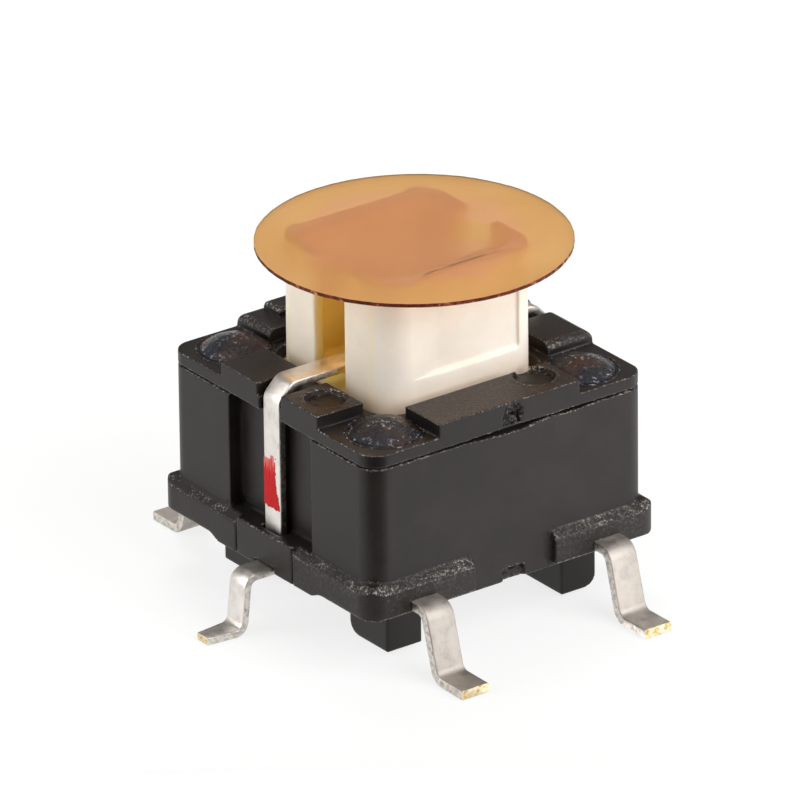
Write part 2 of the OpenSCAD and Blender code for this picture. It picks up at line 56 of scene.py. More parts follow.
cover_low, cover_high = box_mm("cover")
film_low, film_high = box_mm("pickup_film")
mark_low, mark_high = box_mm("polarity_mark")
base_high = box_mm("base")[1]

HALF_BODY = cover_high.x  # from the middle to a wall's outer face
SEAM_Z = cover_low.z  # between the base's walls and the cover
RIM_Z = SEAM_Z + 0.4  # top of the cover's plate
PAD_Z = RIM_Z + 0.42  # tops of its raised pads
UNDERSIDE_Z = 1.72  # underside of the base's walls
FLANGE_Z = 2.95  # just above the foot flange
FLANGE_CHAMFER_Z = (2.35, 2.75)
BAR_HALF = 1.38  # half of the bar across a strap's recess
STAKE_X, STAKE_Y = 3.55, 3.68
HEAD_R = 1.06
HEAD_H = base_high.z - RIM_Z
TERMINAL_X = 3.325
STRAP_FACE_X = HALF_BODY - 0.07  # outer face of a lamp strap in its recess
STEM_INSIDE_X = (2.84, 2.55)  # through the stem's wall, from outside to inside
STEM_INSIDE_Y = (2.2, 2.1)
STEM_INSIDE_Z = (10.85, 10.6)
STEM_RIM_Z = (10.72, 10.82)
STEM_FOOT_Z = (7.7, 6.8)  # down to where the stem enters the cover
STEM_CORNER, STEM_CORNER_R = 1.82, 1.0  # middle and radius of its rounded corners


# Materials

def srgb(hex_colour):
    """Linear colour of an sRGB hex value."""
    channels = [int(hex_colour[i:i + 2], 16) / 255 for i in (1, 3, 5)]
    linear = [c / 12.92 if c <= 0.04045 else ((c + 0.055) / 1.055) ** 2.4 for c in channels]
    return (*linear, 1.0)


def add(tree, kind, inputs=None, stops=(), **settings):
    """Adds a node: sets its properties, sets or links its inputs, fills its colour ramp."""
    made = tree.nodes.new(kind)
    for name, value in settings.items():
        setattr(made, name, value)
    for name, value in (inputs or {}).items():
        if isinstance(value, bpy.types.Node):
            value = value.outputs[0]
        if isinstance(value, bpy.types.NodeSocket):
            tree.links.new(value, made.inputs[name])
        elif isinstance(value, str):
            made.inputs[name].default_value = srgb(value)
        else:
            made.inputs[name].default_value = value
    for i, (position, colour) in enumerate(stops):
        elements = made.color_ramp.elements
        element = elements[i] if i < 2 else elements.new(1.0)
        element.position = position
        element.color = srgb(colour)
    return made


def maths(tree, operation, *values, **settings):
    """A maths node on these values."""
    return add(tree, "ShaderNodeMath", dict(enumerate(values)), operation=operation, **settings)


def vector_maths(tree, operation, *values, scale=None):
    """A vector maths node on these values."""
    inputs = dict(enumerate(values))
    if scale is not None:
        inputs["Scale"] = scale
    return add(tree, "ShaderNodeVectorMath", inputs, operation=operation)


def axes_of(tree, vector):
    """The X, Y and Z of a vector."""
    return add(tree, "ShaderNodeSeparateXYZ", {"Vector": vector}).outputs


def fade(tree, value, start, end, low=0.0, high=1.0):
    """Goes from low to high while the value goes from start to end."""
    return add(
        tree, "ShaderNodeMapRange",
        {"Value": value, "From Min": start, "From Max": end, "To Min": low, "To Max": high},
    )


def grains(tree, in_mm, per_mm, detail, roughness=0.5):
    """Noise with this many grains on a millimetre."""
    return add(
        tree, "ShaderNodeTexNoise",
        {"Vector": in_mm, "Scale": per_mm, "Detail": detail, "Roughness": roughness},
    )


def ramp(tree, value, stops):
    """A colour for each value, from (value, colour) stops."""
    return add(tree, "ShaderNodeValToRGB", {"Fac": value}, stops=stops)


def blend(tree, share, first, second):
    """Two colours mixed, all the second where the share is 1."""
    inputs = {0: share, 6: first, 7: second}
    return add(tree, "ShaderNodeMix", inputs, data_type="RGBA").outputs[2]


def relief(tree, height, strength, depth, normal=None):
    """Bumps of this depth in millimetres, on top of another relief's normal if it's given."""
    inputs = {"Height": height, "Strength": strength, "Distance": depth * MM}
    if normal is not None:
        inputs["Normal"] = normal
    return add(tree, "ShaderNodeBump", inputs)


def lamps_through(tree, shader, tint):
    """Lets lamps shine through a clear material in this tint."""
    tinted = add(tree, "ShaderNodeBsdfTransparent", {"Color": tint})
    path = add(tree, "ShaderNodeLightPath").outputs
    return add(tree, "ShaderNodeMixShader", {0: path["Is Shadow Ray"], 1: shader, 2: tinted})


def new_material(name):
    """An empty material with object coordinates in millimetres."""
    material = bpy.data.materials.new(name)
    material.use_nodes = True
    tree = material.node_tree
    tree.nodes.clear()
    coords = add(tree, "ShaderNodeTexCoord")
    in_mm = add(
        tree, "ShaderNodeMapping", {"Vector": coords.outputs["Object"], "Scale": (1 / MM,) * 3}
    )
    return material, tree, in_mm


def finish_material(material, shader):
    """Links the shader to the material's output."""
    add(material.node_tree, "ShaderNodeOutputMaterial", {"Surface": shader})
    return material


def nylon_with_painted_light(name, block, low, high, flank_tone_and_cast, grains_per_mm, roughness):
    """Black nylon for one moulding, between the low and high colours. block() gives the mask of
    its eroded texture, coloured in the given flank tone, from the axes. Its sharp edges carry
    bright specks of painted highlight for glints, and its inner corners carry painted shade."""
    material, tree, in_mm = new_material(name)
    axes = axes_of(tree, in_mm)
    mask = block(tree, axes)
    mottle = grains(tree, in_mm, 0.9, 5.0, 0.6)
    skin = ramp(tree, mottle, [(0.35, low), (0.7, high)])
    grain = grains(tree, in_mm, grains_per_mm, 3.0, 0.75)
    # Pale flecks in the eroded patch are painted glints; the flank tone is the patch's own colour,
    # on the pad tops a painted amber cast
    flecked_with_glints = ramp(tree, grain, [(0.5, flank_tone_and_cast), (0.68, "#58514c")])
    colour = blend(tree, mask, skin, flecked_with_glints)
    # Edges that take painted highlight are where the skin slants, bends outwards and isn't upright
    surface = add(tree, "ShaderNodeNewGeometry")
    facing = axes_of(tree, vector_maths(tree, "ABSOLUTE", surface.outputs["Normal"]))
    level = maths(tree, "MAXIMUM", facing["X"], facing["Y"])
    level = maths(tree, "MAXIMUM", level, facing["Z"])
    slanted = fade(tree, level, 0.99, 0.94)
    bend = surface.outputs["Pointiness"]
    convex = fade(tree, bend, 0.503, 0.515)
    edge = maths(tree, "MULTIPLY", slanted, convex)
    lying = fade(tree, facing["Z"], 0.12, 0.3)
    edge = maths(tree, "MULTIPLY", edge, lying)
    # The painted highlight goes on in specks, like glints, in some stretches more than in others
    specks = grains(tree, in_mm, 12.0, 3.0, 0.8)
    rare = fade(tree, specks, 0.52, 0.6)
    stretch = fade(tree, mottle, 0.42, 0.58, 0.3)
    edge_glint = maths(tree, "MULTIPLY", edge, rare)
    edge_glint = maths(tree, "MULTIPLY", edge_glint, stretch)
    with_edge_glints = blend(tree, edge_glint, colour, "#97918b")
    # Inner corners are dull, and darkened as painted shade
    corner = fade(tree, bend, 0.465, 0.495)
    dark = blend(tree, corner, "#060505", with_edge_glints)
    lively = maths(tree, "MULTIPLY_ADD", edge, 0.6, 0.25)
    skin_bump = relief(tree, specks, lively, 0.02)
    bump = relief(tree, grain, mask, 0.026, skin_bump)
    shine = fade(tree, mottle, 0.0, 1.0, roughness - 0.06, roughness + 0.06)
    dull = maths(tree, "MULTIPLY_ADD", corner, -0.5, 0.5)
    matt = maths(tree, "ADD", shine, dull, use_clamp=True)
    shader = add(
        tree, "ShaderNodeBsdfPrincipled",
        {"Base Color": dark, "Roughness": matt, "Normal": bump, "IOR": 1.53,
         "Specular IOR Level": 0.27},
    )
    return finish_material(material, shader)


def flange_blocks(tree, axes):
    """The flange blocks, strongest along their upper chamfer. The far strap side and the
    corners are smooth."""
    far_y = maths(tree, "ABSOLUTE", axes["Y"])
    y_side = maths(tree, "GREATER_THAN", far_y, HALF_BODY + 0.01)
    far_x = maths(tree, "ABSOLUTE", axes["X"])
    x_side = maths(tree, "GREATER_THAN", far_x, HALF_BODY + 0.01)
    near = maths(tree, "LESS_THAN", axes["Y"], -BAR_HALF - 0.02)
    x_block = maths(tree, "MULTIPLY", x_side, near)
    block = maths(tree, "MAXIMUM", y_side, x_block)
    low = maths(tree, "LESS_THAN", axes["Z"], FLANGE_Z)
    block = maths(tree, "MULTIPLY", block, low)
    upper = fade(tree, axes["Z"], *FLANGE_CHAMFER_Z, 0.3)
    block = maths(tree, "MULTIPLY", block, upper)
    nearer = maths(tree, "MINIMUM", far_x, far_y)
    beside = fade(tree, nearer, HALF_BODY, HALF_BODY - 0.4, 0.1)
    return maths(tree, "MULTIPLY", block, beside)


def pad_tops(tree, axes):
    """The tops of the cover's pads, mostly the long front one, where the eroded texture and its
    painted amber cast go.
    """
    surface = add(tree, "ShaderNodeNewGeometry")
    up = axes_of(tree, surface.outputs["Normal"])
    top = maths(tree, "GREATER_THAN", up["Z"], 0.8)
    high = maths(tree, "GREATER_THAN", axes["Z"], PAD_Z - 0.13)
    pads = maths(tree, "MULTIPLY", top, high)
    front = fade(tree, axes["Y"], -2.9, -3.1, 0.2, 0.6)
    return maths(tree, "MULTIPLY", pads, front)


def polished_black_nylon():
    """Glass-filled nylon from a polished mould: satin walls with faint flow mottling. The mould
    was spark-eroded at the flange; its glitter along the chamfer is painted as pale flecks."""
    return nylon_with_painted_light(
        "polished_black_nylon", flange_blocks, low="#1a1614", high="#241f1c", flank_tone_and_cast="#1d1917",
        grains_per_mm=13.0, roughness=0.42,
    )


def fine_eroded_nylon():
    """Nylon of the cover: polished sides, pad tops left finely spark-eroded, their brown tone a
    painted amber cast from the film's light.
    """
    return nylon_with_painted_light(
        "fine_eroded_black_nylon", pad_tops, low="#161211", high="#201b19", flank_tone_and_cast="#261c15",
        grains_per_mm=16.0, roughness=0.4,
    )


def heat_formed_nylon():
    """Nylon melted by the riveting horn: glossy black and crazed, with bronze patches of painted
    reflection, and pale flecks of painted highlight at the crown and round the rim for its glitter."""
    material, tree, in_mm = new_material("heat_formed_nylon")
    # Bronze patches in the colour are a painted reflection
    bronze_reflection_patches = grains(tree, in_mm, 1.1, 3.0)
    colour = ramp(tree, bronze_reflection_patches, [(0.45, "#0a0a0c"), (0.6, "#35200f")])
    craze = grains(tree, in_mm, 7.0, 4.0, 0.7)
    bump = relief(tree, craze, 0.7, 0.15)
    height = axes_of(tree, in_mm)["Z"]
    crown = fade(tree, height, RIM_Z + 0.55 * HEAD_H, RIM_Z + 0.95 * HEAD_H)
    rim = fade(tree, height, RIM_Z + 0.2, RIM_Z + 0.1)
    zone = maths(tree, "MAXIMUM", crown, rim)
    # Pale flecks at the crown and rim are painted glints
    painted_glint_fleck = fade(tree, craze, 0.56, 0.62)
    painted_glint_fleck = maths(tree, "MULTIPLY", painted_glint_fleck, zone)
    colour = blend(tree, painted_glint_fleck, colour, "#84858f")
    shader = add(
        tree, "ShaderNodeBsdfPrincipled",
        {"Base Color": colour, "Normal": bump, "IOR": 1.53, "Roughness": 0.18,
         "Specular Tint": "#cfd8f0"},
    )
    return finish_material(material, shader)


def translucent_white_resin():
    """White translucent polycarbonate: light spreads in it, so its edges look soft. Inside the
    cap its colour is painted amber light from the film above it, its foot has a painted warm pool
    of light, and its rim is darker, where it is wet with adhesive and as painted shade against the
    lamps."""
    material, tree, in_mm = new_material("translucent_white_resin")
    # White outside, painted amber light inside, a painted warm pool of light at the foot, and a
    # darker rim: wet adhesive and painted shade
    cloud = grains(tree, in_mm, 0.8, 4.0)
    white = ramp(tree, cloud, [(0.35, "#e6ded3"), (0.7, "#efe8de")])
    amber = ramp(tree, cloud, [(0.35, "#efe38c"), (0.7, "#f4e99e")])
    axes = axes_of(tree, in_mm)
    far_x = maths(tree, "ABSOLUTE", axes["X"])
    far_y = maths(tree, "ABSOLUTE", axes["Y"])
    x_in = fade(tree, far_x, *STEM_INSIDE_X)
    y_in = fade(tree, far_y, *STEM_INSIDE_Y)
    under_film = fade(tree, axes["Z"], *STEM_INSIDE_Z)
    inside = maths(tree, "MULTIPLY", x_in, y_in)
    inside = maths(tree, "MULTIPLY", inside, under_film)
    foot = fade(tree, axes["Z"], *STEM_FOOT_Z, high=0.5)
    painted_warm_light = blend(tree, foot, white, "#dcb68c")
    lit = blend(tree, inside, painted_warm_light, amber)
    # The rim's darker tone is partly the wet adhesive and partly painted shade against the lamps
    rim = fade(tree, axes["Z"], *STEM_RIM_Z)
    colour = blend(tree, rim, lit, "#b59b8c")
    skin = grains(tree, in_mm, 5.0, 3.0)
    bump = relief(tree, skin, 0.3, 0.006)
    shader = add(
        tree, "ShaderNodeBsdfPrincipled",
        {"Base Color": colour, "Normal": bump, "IOR": 1.55, "Roughness": 0.42,
         "Subsurface Weight": 0.5, "Subsurface Scale": 0.3 * MM,
         "Subsurface Radius": (1.0, 0.8, 0.55)},
    )
    return finish_material(material, shader)


def amber_film():
    """Cast polyimide film: clear amber with a faint haze, redder where the adhesive wets the
    stem's rim, apart from one dry spot. Lamps shine through it in amber."""
    material, tree, in_mm = new_material("amber_polyimide_film")
    # The adhesive wets a rounded square with a wavy outline
    wave = grains(tree, in_mm, 0.45, 3.0)
    sway = vector_maths(tree, "MULTIPLY_ADD", wave.outputs["Color"], (1.6, 1.6, 1.6), in_mm)
    swayed = vector_maths(tree, "SUBTRACT", sway, (0.8, 0.8, 0.8))
    axes = axes_of(tree, swayed)
    far_x = maths(tree, "ABSOLUTE", axes["X"])
    far_y = maths(tree, "ABSOLUTE", axes["Y"])
    ring = maths(tree, "MAXIMUM", far_x, far_y)
    across = maths(tree, "ADD", far_x, far_y)
    ring = maths(tree, "MULTIPLY_ADD", across, 0.58, ring)
    wet = fade(tree, ring, 5.9, 5.1, high=0.45)
    dry_spot = (1.75, -1.05, film_high.z)
    from_dry = vector_maths(tree, "DISTANCE", swayed, dry_spot)
    dry = fade(tree, from_dry.outputs["Value"], 0.45, 0.95)
    wet = maths(tree, "MULTIPLY", wet, dry)
    clear = ramp(tree, wave, [(0.3, "#d5a663"), (0.7, "#dcb070")])
    colour = blend(tree, wet, clear, "#dba283")
    bump = relief(tree, wave, 0.4, 0.02)
    film = add(
        tree, "ShaderNodeBsdfPrincipled",
        {"Base Color": colour, "Normal": bump, "IOR": 1.5, "Roughness": 0.3,
         "Specular IOR Level": 0.15, "Transmission Weight": 0.8},
    )
    return finish_material(material, lamps_through(tree, film, "#c2b09a"))


def film_cut_edge():
    """The film's punched edge: the cut is rough, so it looks dark red-brown, with pale specks
    where adhesive was squeezed out."""
    material, tree, in_mm = new_material("film_cut_edge")
    torn = grains(tree, in_mm, 5.0, 4.0, 0.7)
    colour = ramp(tree, torn, [(0.45, "#4a170d"), (0.6, "#74301b"), (0.7, "#cf9a78")])
    shader = add(
        tree, "ShaderNodeBsdfPrincipled",
        {"Base Color": colour, "IOR": 1.5, "Roughness": 0.6, "Specular IOR Level": 0.15},
    )
    return finish_material(material, shader)


def tin_plate(name, stops, roughness):
    """Tin plated over brass: pale grey metal with fine rolling lines and smears."""
    material, tree, in_mm = new_material(name)
    smear = grains(tree, in_mm, 2.2, 5.0, 0.65)
    colour = ramp(tree, smear, stops)
    shine = fade(tree, smear, 0.0, 1.0, roughness - 0.14, roughness + 0.14)
    rolled = grains(tree, in_mm, 8.0, 4.0, 0.7)
    bump = relief(tree, rolled, 0.5, 0.01)
    shader = add(
        tree, "ShaderNodeBsdfPrincipled",
        {"Base Color": colour, "Roughness": shine, "Normal": bump, "Metallic": 1.0},
    )
    return finish_material(material, shader)


def torn_brass(name, stops, strength, depth, roughness):
    """Brass torn by a tool: grainy metal in these colours."""
    material, tree, in_mm = new_material(name)
    torn = grains(tree, in_mm, 6.0, 4.0, 0.7)
    colour = ramp(tree, torn, stops)
    bump = relief(tree, torn, strength, depth)
    shader = add(
        tree, "ShaderNodeBsdfPrincipled",
        {"Base Color": colour, "Normal": bump, "Metallic": 1.0, "Roughness": roughness},
    )
    return finish_material(material, shader)


def sheared_brass():
    """The strip's punched sides: the punch burnished one half and tore the other, and the tin
    covers the tear thinly, so they look grey and grainy."""
    stops = [(0.35, "#a39c94"), (0.5, "#cfc9c0"), (0.68, "#ebe6de")]
    return torn_brass("sheared_brass", stops, strength=0.7, depth=0.02, roughness=0.4)


def cut_brass():
    """Bare brass where the strip was cut off after plating: yellow, torn, smeared with tin."""
    stops = [(0.38, "#b8935a"), (0.5, "#e4cfa0"), (0.64, "#efe7d8")]
    return torn_brass("cut_brass", stops, strength=0.8, depth=0.015, roughness=0.36)


def brushed_red_ink():
    """Red marking ink put on with a small brush: streaky, thin at its upper end."""
    material, tree, in_mm = new_material("brushed_red_ink")
    stretched = add(tree, "ShaderNodeMapping", {"Vector": in_mm, "Scale": (1.0, 5.0, 0.7)})
    streak = grains(tree, stretched, 1.7, 4.0, 0.7)
    axes = axes_of(tree, in_mm)
    thin = fade(tree, axes["Z"], mark_low.z + 0.8, mark_high.z, high=0.4)
    worn = maths(tree, "ADD", streak, thin)
    colour = ramp(tree, worn, [(0.5, "#b4080e"), (0.68, "#c21a1d"), (0.92, "#dd8d8b")])
    shader = add(
        tree, "ShaderNodeBsdfPrincipled",
        {"Base Color": colour, "IOR": 1.5, "Roughness": 0.45, "Specular IOR Level": 0.12},
    )
    return finish_material(material, shader)


def rolled_stainless():
    """Cold-rolled stainless sheet of the snap dome: bright, with rings from the press."""
    material, tree, in_mm = new_material("rolled_stainless")
    rings = add(
        tree, "ShaderNodeTexWave", {"Vector": in_mm, "Scale": 4.0, "Distortion": 1.5},
        wave_type="RINGS", rings_direction="Z",
    )
    colour = ramp(tree, rings, [(0.2, "#b9babb"), (0.8, "#c9cacb")])
    shader = add(
        tree, "ShaderNodeBsdfPrincipled", {"Base Color": colour, "Metallic": 1.0, "Roughness": 0.25}
    )
    return finish_material(material, shader)


def clear_cast_epoxy():
    """Clear cast epoxy of the lamp: glassy, a little cloudy. Lamps shine through it."""
    material, tree, in_mm = new_material("clear_cast_epoxy")
    cloud = grains(tree, in_mm, 1.5, 2.0)
    colour = ramp(tree, cloud, [(0.3, "#dfb24a"), (0.7, "#ebc878")])
    resin = add(
        tree, "ShaderNodeBsdfPrincipled",
        {"Base Color": colour, "IOR": 1.53, "Roughness": 0.08, "Transmission Weight": 0.8},
    )
    return finish_material(material, lamps_through(tree, resin, "#e6cc8c"))


def diced_crystal():
    """Diced crystal of the lamp's chip: yellow-grey, matt sawn sides."""
    material, tree, in_mm = new_material("diced_crystal")
    sawn = grains(tree, in_mm, 30.0, 3.0)
    colour = ramp(tree, sawn, [(0.3, "#8d7b3c"), (0.7, "#c3ad62")])
    shader = add(
        tree, "ShaderNodeBsdfPrincipled", {"Base Color": colour, "IOR": 2.4, "Roughness": 0.4}
    )
    return finish_material(material, shader)


NYLON = polished_black_nylon()
COVER_NYLON = fine_eroded_nylon()
FORMED_NYLON = heat_formed_nylon()
STEM_RESIN = translucent_white_resin()
FILM = amber_film()
FILM_EDGE = film_cut_edge()
TIN = tin_plate(
    "matt_tin_plate", [(0.3, "#ccc6c0"), (0.5, "#e1dcd6"), (0.75, "#ebe7e1")], roughness=0.4
)
# A darker, duller copy of the tin for the terminals, as painted shade that holds down the glare of
# the lamps and the white card on their legs
LEG_TIN = tin_plate(
    "darker_terminal_tin_plate", [(0.3, "#a59e98"), (0.5, "#bdb6af"), (0.75, "#cac3bc")], roughness=0.62
)
SHEARED = sheared_brass()
BRASS = cut_brass()
INK = brushed_red_ink()
STAINLESS = rolled_stainless()
EPOXY = clear_cast_epoxy()
CRYSTAL = diced_crystal()


# Mesh helpers: every piece is built in millimetres and scaled to metres when it is settled

def new_object(name, mesh):
    """An object for a mesh, linked to the scene."""
    made = bpy.data.objects.new(name, mesh)
    bpy.context.scene.collection.objects.link(made)
    return made


def realise(obj):
    """Replaces the object's mesh by what its modifiers make of it."""
    bpy.context.view_layer.update()
    evaluated = obj.evaluated_get(bpy.context.evaluated_depsgraph_get())
    mesh = bpy.data.meshes.new_from_object(evaluated)
    mesh.name = obj.name
    obj.modifiers.clear()
    obj.data = mesh
    return mesh


def settle(obj, body, replaced=()):
    """Finishes the object's mesh and puts it on its CAD body."""
    realise(obj).transform(Matrix.Scale(MM, 4))
    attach(obj, body)
    if replaced:
        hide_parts(*replaced)
    return obj


def cad_shape(node):
    """A copy of a CAD piece's mesh in millimetres with its doubles merged, as a bmesh."""
    shape = bmesh.new()
    shape.from_mesh(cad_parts[node].data)
    bmesh.ops.scale(shape, vec=(1 / MM,) * 3, verts=shape.verts)
    bmesh.ops.remove_doubles(shape, verts=shape.verts, dist=0.002)
    return shape


def cut_off(shape, point, normal):
    """Cuts off what lies beyond a plane and closes the cut."""
    everything = shape.verts[:] + shape.edges[:] + shape.faces[:]
    bmesh.ops.bisect_plane(
        shape, geom=everything, plane_co=point, plane_no=normal, clear_outer=True
    )
    bmesh.ops.holes_fill(shape, edges=[e for e in shape.edges if e.is_boundary], sides=0)


def moulding(name, shape, grain, passes, wear, triangles, material, body, replaced):
    """A moulded piece: its skin drawn again at an even grain and softened in passes, which
    rounds the edges as a filled mould does, then worn by the piece's own function and thinned
    out to this many triangles."""
    mesh = bpy.data.meshes.new(name)
    shape.to_mesh(mesh)
    shape.free()
    obj = new_object(name, mesh)
    skin = obj.modifiers.new("even skin", "REMESH")
    skin.mode = "VOXEL"
    skin.voxel_size = grain
    soft = obj.modifiers.new("soft edges", "SMOOTH")
    soft.factor = 0.5
    soft.iterations = passes
    mesh = realise(obj)
    for vert in mesh.vertices:
        vert.co += wear(vert.co)
    thin = obj.modifiers.new("thinning", "DECIMATE")
    thin.ratio = min(1.0, triangles / sum(len(p.vertices) - 2 for p in mesh.polygons))
    mesh = realise(obj)
    for polygon in mesh.polygons:
        polygon.use_smooth = True
    mesh.materials.clear()
    mesh.materials.append(material)
    flat = obj.modifiers.new("flat faces stay flat", "WEIGHTED_NORMAL")
    flat.weight = 60
    return settle(obj, body, replaced)


def along(points, at):
    """Value at a position on a broken line of (position, value) points."""
    for (x0, y0), (x1, y1) in zip(points, points[1:]):
        if at <= x1:
            return y0 + (y1 - y0) * max(0.0, at - x0) / (x1 - x0)
    return points[-1][1]


def rough(at, size):
    """Noise between -1 and 1 with this grain in millimetres."""
    return noise.noise(at / size)


# Mouldings

SEAM_GAPE = [  # (X, gap) along the front seam
    (-5, 0.02), (-1.6, 0.04), (-0.3, 0.12), (0.4, 0.13), (0.9, 0.08), (1.6, 0.03), (2.2, 0.07),
    (3.2, 0.03), (5, 0.02),
]
DIMPLES = [(1.70, -3.93), (-4.055, -1.49), (4.055, 1.49)]
DIMPLE_R, DIMPLE_DEPTH = 0.6, 0.06
DIMPLE_RIM_R, DIMPLE_RIM_H = 0.68, 0.035
NICK_X, NICK_HALF = 0.1, 0.42  # the notch in the base's lower front edge
COVER_GATE_X, COVER_GATE_Z = 0.14, 7.05  # where the cover's gate was torn off
POCKET_HALF, POCKET_Z = 2.6, 7.3  # around the pocket in the stem's front wall
WITNESS = 0.06  # depth and half width of the lines beside the bars


def base_wear(at):
    """The seam gapes unevenly at the front, a witness line runs down beside each bar, and the
    notch in the front edge is ragged."""
    shift = Vector((0, 0, 0))
    outside = max(abs(at.x), abs(at.y))
    if SEAM_Z - 0.3 < at.z < SEAM_Z + 0.05 and outside > HALF_BODY - 0.35:
        gape = 0.03
        if at.y < -HALF_BODY + 0.35:
            gape = along(SEAM_GAPE, at.x)
        reach = min(1.0, (outside - HALF_BODY + 0.35) / 0.15)
        reach *= min(1.0, (at.z - SEAM_Z + 0.3) / 0.25)
        shift.z -= reach * (gape + 0.025 * abs(rough(at, 0.25)))
    beside = abs(abs(at.y) - BAR_HALF - 0.01)
    if abs(at.x) > HALF_BODY and beside < WITNESS:
        shift.x -= math.copysign(WITNESS * (1 - beside / WITNESS), at.x)
    near_edge = at.y < -HALF_BODY + 0.3 and at.z < UNDERSIDE_Z + 0.5
    if abs(at.x - NICK_X) < NICK_HALF and near_edge:
        shift.y += 0.05 * rough(at, 0.12)
    return shift


def cover_wear(at):
    """The gate was torn off the front edge, ejector dimples carry a fine raised rim, and the
    cover's lower edge follows the seam."""
    shift = Vector((0, 0, 0))
    if at.z > PAD_Z - 0.15:
        for x, y in DIMPLES:
            away = math.hypot(at.x - x, at.y - y)
            shift.z -= DIMPLE_DEPTH * max(0.0, min(1.0, (DIMPLE_R - away) / 0.06))
            rim = max(0.0, 1 - abs(away - DIMPLE_RIM_R) / 0.07)
            shift.z += DIMPLE_RIM_H * rim * (0.7 + 0.6 * rough(at, 0.3))
    if at.y < -HALF_BODY + 0.12 and at.z > SEAM_Z + 0.12:
        from_gate = math.hypot((at.x - COVER_GATE_X) / 0.36, (at.z - COVER_GATE_Z) / 0.4)
        if from_gate < 1:
            shift.y += (1 - from_gate ** 2) * (0.11 + 0.13 * rough(at, 0.11))
    if at.y < -HALF_BODY + 0.3 and at.z < SEAM_Z + 0.1:
        shift.z += 0.35 * along(SEAM_GAPE, at.x) + 0.012 * rough(at, 0.2)
    return shift


def stem_wear(at):
    """The walls are very slightly wavy. The front pocket is shallow and fades out towards the
    near corner."""
    shift = Vector((at.x, at.y, 0)) * 0.0012 * (rough(at, 1.5) - 1)
    if at.y < -2.4 and abs(at.x) < POCKET_HALF and at.z > POCKET_Z:
        round_the_corner = max(0.0, abs(at.x) - STEM_CORNER)
        skin_y = -STEM_CORNER - math.sqrt(STEM_CORNER_R ** 2 - round_the_corner ** 2)
        fill = max(0.4, min(1.0, (-0.2 - at.x) / 1.7))
        shift.y -= max(0.0, at.y - skin_y) * fill
    return shift


def mouldings():
    """The base without its stakes' heads, the cover and the stem."""
    base = cad_shape("base")
    cut_off(base, (0, 0, RIM_Z - 0.03), (0, 0, 1))
    moulding(
        "base_moulding", base, grain=0.045, passes=6, wear=base_wear, triangles=190000,
        material=NYLON, body="housing", replaced=["base"],
    )
    moulding(
        "cover_moulding", cad_shape("cover"), grain=0.03, passes=5, wear=cover_wear,
        triangles=120000, material=COVER_NYLON, body="housing",
        replaced=["cover"],
    )
    moulding(
        "stem_moulding", cad_shape("stem"), grain=0.045, passes=9, wear=stem_wear,
        triangles=90000, material=STEM_RESIN, body="plunger",
        replaced=["stem"],
    )


# Geometry Nodes helpers

def geometry_tree(name, inputs):
    """A node group with a geometry input, named inputs, and a geometry output."""
    tree = bpy.data.node_groups.new(name, "GeometryNodeTree")
    tree.interface.new_socket(name="Geometry", in_out="INPUT", socket_type="NodeSocketGeometry")
    kinds = {float: "NodeSocketFloat", int: "NodeSocketInt", tuple: "NodeSocketVector",
             bpy.types.Material: "NodeSocketMaterial"}
    for label, value in inputs.items():
        tree.interface.new_socket(name=label, in_out="INPUT", socket_type=kinds[type(value)])
    tree.interface.new_socket(name="Geometry", in_out="OUTPUT", socket_type="NodeSocketGeometry")
    return tree, add(tree, "NodeGroupInput").outputs


def run_tree(obj, tree, inputs):
    """Puts the tree on the object with these input values."""
    modifier = obj.modifiers.new(tree.name, "NODES")
    modifier.node_group = tree
    for item in tree.interface.items_tree:
        if item.in_out == "INPUT" and item.name in inputs:
            modifier[item.identifier] = inputs[item.name]


